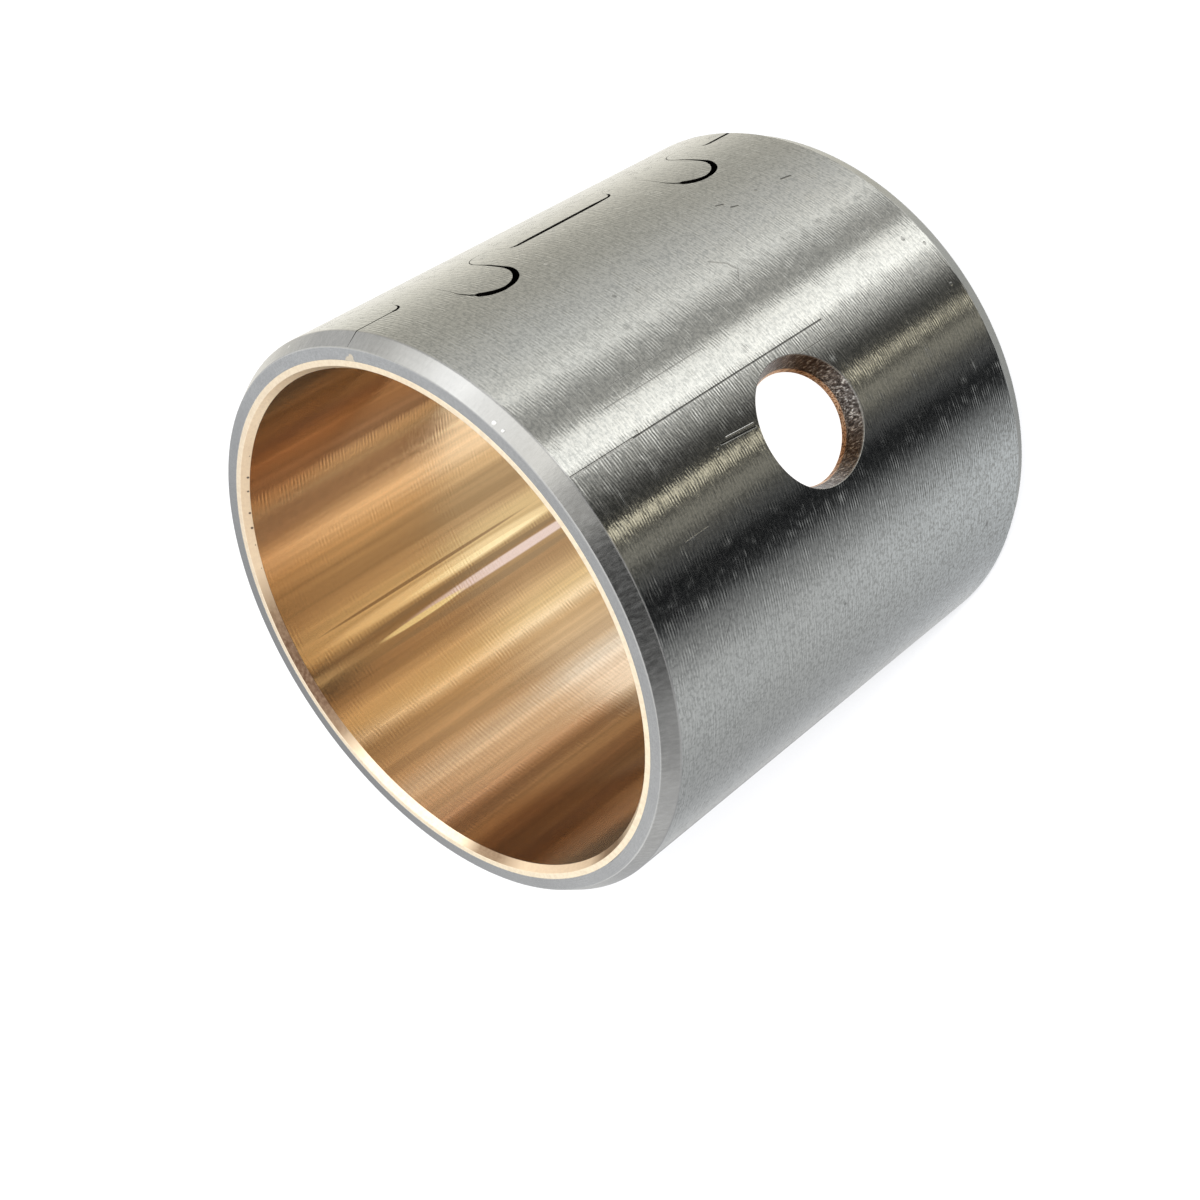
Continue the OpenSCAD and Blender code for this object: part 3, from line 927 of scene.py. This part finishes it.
# The studio's light and dark cards as bands round the bush: azimuth in degrees, level, warmth
LOW_BANDS = [
    (0, 0.64, 0.4), (8, 0.52, 0.8), (26, 0.53, 1.0), (38, 0.70, 1.0), (50, 0.92, 1.0), (68, 1.10, 0.8),
    (84, 1.05, 0.5), (97, 0.80, 0.2), (110, 0.56, 0.0), (119, 0.66, 0.0), (132, 0.60, -0.3),
    (150, 0.46, -0.3), (172, 0.50, -0.2), (188, 0.60, -0.2), (203, 0.60, -0.2), (214, 0.37, -0.2),
    (221, 0.24, -0.2), (225, 0.19, -0.3), (228, 0.055, -0.6), (233, 0.015, -1.0), (236, 0.02, -1.0),
    (242, 0.012, -1.0), (246, 0.075, -0.2), (250, 0.11, 0.5), (253, 0.10, 0.8), (257.5, 0.27, 1.2),
    (261, 0.24, 1.2), (264, 0.07, 1.0), (266.2, 0.26, 1.6), (268.0, 1.20, 2.2), (270.0, 1.20, 2.2),
    (271.5, 0.05, 0.8), (279, 0.05, 0.6), (282, 0.11, 0.4), (285, 0.24, 0.4), (289, 0.38, 0.3),
    (292.5, 0.44, 0.2), (294.5, 1.15, 0.2), (297, 1.80, 0.2), (300, 1.30, 0.2), (304, 1.45, 0.2),
    (307.5, 1.20, 0.3), (310, 0.47, 0.4), (317, 0.44, 0.4), (322, 0.46, 0.3), (327, 0.84, 0.3),
    (329.5, 1.10, 0.2), (332, 1.30, 0.2), (334.5, 0.95, 0.3), (338, 0.80, 0.3), (342, 0.90, 0.2),
    (349, 0.68, 0.2),
]
# The same between two azimuths, as the lower part of the wall mirrors them
DEEP_BANDS = [
    (236, 0.02, -1.0), (240, 0.03, -1.0), (244, 0.10, -0.4), (248, 0.11, 0.2), (252, 0.16, 1.0),
    (256, 0.28, 1.6), (260, 0.33, 1.6), (263.5, 0.09, 1.2), (267.5, 0.40, 1.6), (272, 0.11, 1.0),
    (276, 0.08, 0.6), (280, 0.15, 0.5), (284, 0.36, 0.4), (288, 0.78, 0.3), (292, 0.98, 0.2),
    (296, 1.80, 0.2), (300, 1.65, 0.2), (304, 1.55, 0.2), (308, 1.50, 0.3), (310.5, 0.95, 0.3),
    (313, 0.48, 0.4), (317, 0.44, 0.4), (322, 0.46, 0.3), (327, 0.84, 0.3),
]
# The same above the horizon, as the outside chamfer mirrors them
HIGH_BANDS = [
    (0, 1.25, 0.2), (18, 0.72, 0.5), (34, 0.82, 0.4), (49, 0.97, 0.3), (68, 1.06, 0.0), (84, 0.72, -0.4),
    (96, 0.70, -0.4), (112, 0.95, -0.2), (128, 1.30, 0.0), (141, 1.20, 0.0), (155, 0.88, 0.0),
    (171, 0.62, 0.0), (187, 0.38, 0.0), (204, 0.33, 0.0), (223, 0.07, 0.0), (243, 0.01, -0.3),
    (263, 0.02, 0.0), (284, 0.48, 0.4), (305, 1.20, 0.4), (325, 1.32, 0.2), (344, 1.75, 0.0),
]
HORIZON_LEVEL = 0.60
TOP_LEVEL = 1.15
BOTTOM_LEVEL = 0.70
# Heights on the unit sphere between which one zone of bands gives way to the next
DEEP_ZONE, HORIZON_ZONE, HIGH_ZONE = (-0.645, -0.712), (-0.34, -0.08), (0.04, 0.20)
TOP_ZONE, BOTTOM_ZONE = (0.60, 0.85), (-0.93, -0.985)
# Most colours that one ramp holds
RAMP_LIMIT = 32

# Floor near the bush, and the distances in metres between which it turns plain white
FLOOR_GLOW, FLOOR_DIFFUSE, FLOOR_HALF_SIZE = (0.46, 0.465, 0.485), 0.44, 3000
FADE_FROM, FADE_TO = 0.12, 0.40
# Disc under the bore: its diffuse level, how far it stays inside the bore, and its height
DISC_DIFFUSE, DISC_INSET, DISC_LIFT, DISC_STEPS = 0.2, 0.4, 0.02, 96

# Lamp: place, aim and size in metres, and energy in watts
KEY_AT, KEY_AIM, KEY_SIZE, KEY_ENERGY = (0.130, -0.450, 0.370), (0, 0, 0.01), 0.12, 4.6


def warm(level, warmth):
    """Grey level, tinted towards cream by a warmth above 0 and towards blue by one below."""
    return (level * (1 + 0.04 * warmth), level, level * (1 - 0.10 * warmth))


def stops_of(bands):
    """Ramp stops of bands, as shares of a turn and colours."""
    return [(azimuth / 360, warm(level, warmth)) for azimuth, level, warmth in bands]


def banded(g, turn, bands):
    """Bands over one turn, which ends as it begins, in as many ramps as they need."""
    stops = stops_of(bands)
    stops.append((1.0, stops[0][1]))
    colour = g.ramp(turn, stops[:RAMP_LIMIT], "EASE")
    for first in range(RAMP_LIMIT - 1, len(stops) - 1, RAMP_LIMIT - 1):
        beyond = g.math("GREATER_THAN", turn, stops[first][0])
        colour = g.mix(beyond, colour, g.ramp(turn, stops[first:first + RAMP_LIMIT], "EASE"))
    return colour


def studio_world():
    """White to the camera, and bands of light and dark to the metal."""
    world = bpy.data.worlds.new("studio")
    bpy.context.scene.world = world
    world.use_nodes = True
    g = Graph(world.node_tree)
    coords = g.node("ShaderNodeTexCoord")
    split = g.node("ShaderNodeSeparateXYZ")
    g.put(coords.outputs["Generated"], split.inputs[0])
    x, y, z = split.outputs
    azimuth = g.math("FRACT", g.math("MULTIPLY_ADD", g.math("ARCTAN2", y, x), 0.5 / pi, 1.0))
    low, high = banded(g, azimuth, LOW_BANDS), banded(g, azimuth, HIGH_BANDS)
    deep = g.ramp(azimuth, stops_of(DEEP_BANDS), "EASE")
    within = [("GREATER_THAN", DEEP_BANDS[0][0]), ("LESS_THAN", DEEP_BANDS[-1][0])]
    sides = g.step(z, *DEEP_ZONE)
    for test, place in within:
        sides = g.math("MULTIPLY", sides, g.math(test, azimuth, place / 360))
    low = g.mix(sides, low, deep)
    sides = g.mix(g.step(z, *HORIZON_ZONE), low, warm(HORIZON_LEVEL, 0))
    sides = g.mix(g.step(z, *HIGH_ZONE), sides, high)
    room = g.mix(g.step(z, *TOP_ZONE), sides, warm(TOP_LEVEL, 0))
    room = g.mix(g.step(z, *BOTTOM_ZONE), room, warm(BOTTOM_LEVEL, 0))
    path = g.node("ShaderNodeLightPath")
    seen = g.mix(path.outputs["Is Camera Ray"], room, (1, 1, 1))
    background = g.node("ShaderNodeBackground")
    g.put(seen, background.inputs["Color"])
    output = g.node("ShaderNodeOutputWorld")
    g.put(background.outputs[0], output.inputs["Surface"])


def glowing(name, glow_colour, rays, diffuse_level):
    """White stage surface: it glows for the named rays, keeps shadows, and is plain white far off."""
    material = bpy.data.materials.new(name)
    material.use_nodes = True
    g = Graph(material.node_tree)
    diffuse = g.node("ShaderNodeBsdfDiffuse")
    diffuse.inputs["Color"].default_value = (diffuse_level, diffuse_level, diffuse_level, 1)
    coords = g.node("ShaderNodeTexCoord")
    far = g.vector("DISTANCE", coords.outputs["Object"], (0, 0, 0), "Value")
    glow = g.node("ShaderNodeEmission")
    g.put(g.mix(g.step(far, FADE_FROM, FADE_TO), glow_colour, (1, 1, 1)), glow.inputs["Color"])
    path = g.node("ShaderNodeLightPath")
    seen = path.outputs[rays[0]]
    for ray in rays[1:]:
        seen = g.math("MAXIMUM", seen, path.outputs[ray])
    g.put(seen, glow.inputs["Strength"])
    both = g.node("ShaderNodeAddShader")
    g.put(diffuse.outputs[0], both.inputs[0])
    g.put(glow.outputs[0], both.inputs[1])
    output = g.node("ShaderNodeOutputMaterial")
    g.put(both.outputs[0], output.inputs["Surface"])
    return material


def floor():
    """White floor that keeps a soft bluish shadow. The metal reflects the bands of the world in its place."""
    size = FLOOR_HALF_SIZE
    corners = [(-size, -size, 0), (size, -size, 0), (size, size, 0), (-size, size, 0)]
    material = glowing("floor", FLOOR_GLOW, ["Is Camera Ray"], FLOOR_DIFFUSE)
    obj = mesh_object("floor", corners, [(0, 1, 2, 3)], [material])
    obj.visible_glossy = False


def bore_floor():
    """The white table seen through the bore, also by the bore itself."""
    rim = [polar(360 * i / DISC_STEPS, DISC_LIFT, BORE_R - DISC_INSET) for i in range(DISC_STEPS)]
    rays = ["Is Camera Ray", "Is Glossy Ray", "Is Transmission Ray"]
    material = glowing("bore_floor", (1, 1, 1), rays, DISC_DIFFUSE)
    obj = mesh_object("bore_floor", rim, [tuple(range(DISC_STEPS))], [material])


def key_light():
    """Soft lamp that throws the floor's shadow."""
    lamp = bpy.data.lights.new("key", "AREA")
    lamp.energy = KEY_ENERGY
    lamp.size = KEY_SIZE
    obj = bpy.data.objects.new("key", lamp)
    bpy.context.collection.objects.link(obj)
    obj.location = KEY_AT
    aim = Vector(KEY_AIM) - obj.location
    obj.rotation_euler = aim.to_track_quat("-Z", "Y").to_euler()
    obj.visible_glossy = False


def camera():
    """The photograph's view of the bush."""
    data = bpy.data.cameras.new("camera")
    data.lens = CAMERA_LENS
    data.sensor_width = CAMERA_SENSOR
    data.clip_start = CAMERA_CLIP
    obj = bpy.data.objects.new("camera", data)
    bpy.context.collection.objects.link(obj)
    axes = Matrix((CAMERA_RIGHT, CAMERA_UP, CAMERA_BACK)).transposed()
    obj.matrix_world = Matrix.Translation(Vector(CAMERA_AT) * MM) @ axes.to_4x4()
    bpy.context.scene.camera = obj


camera()
bpy.context.scene.view_settings.view_transform = "Standard"
studio_world()
floor()
bore_floor()
key_light()
steel_shell()
bronze_shell()
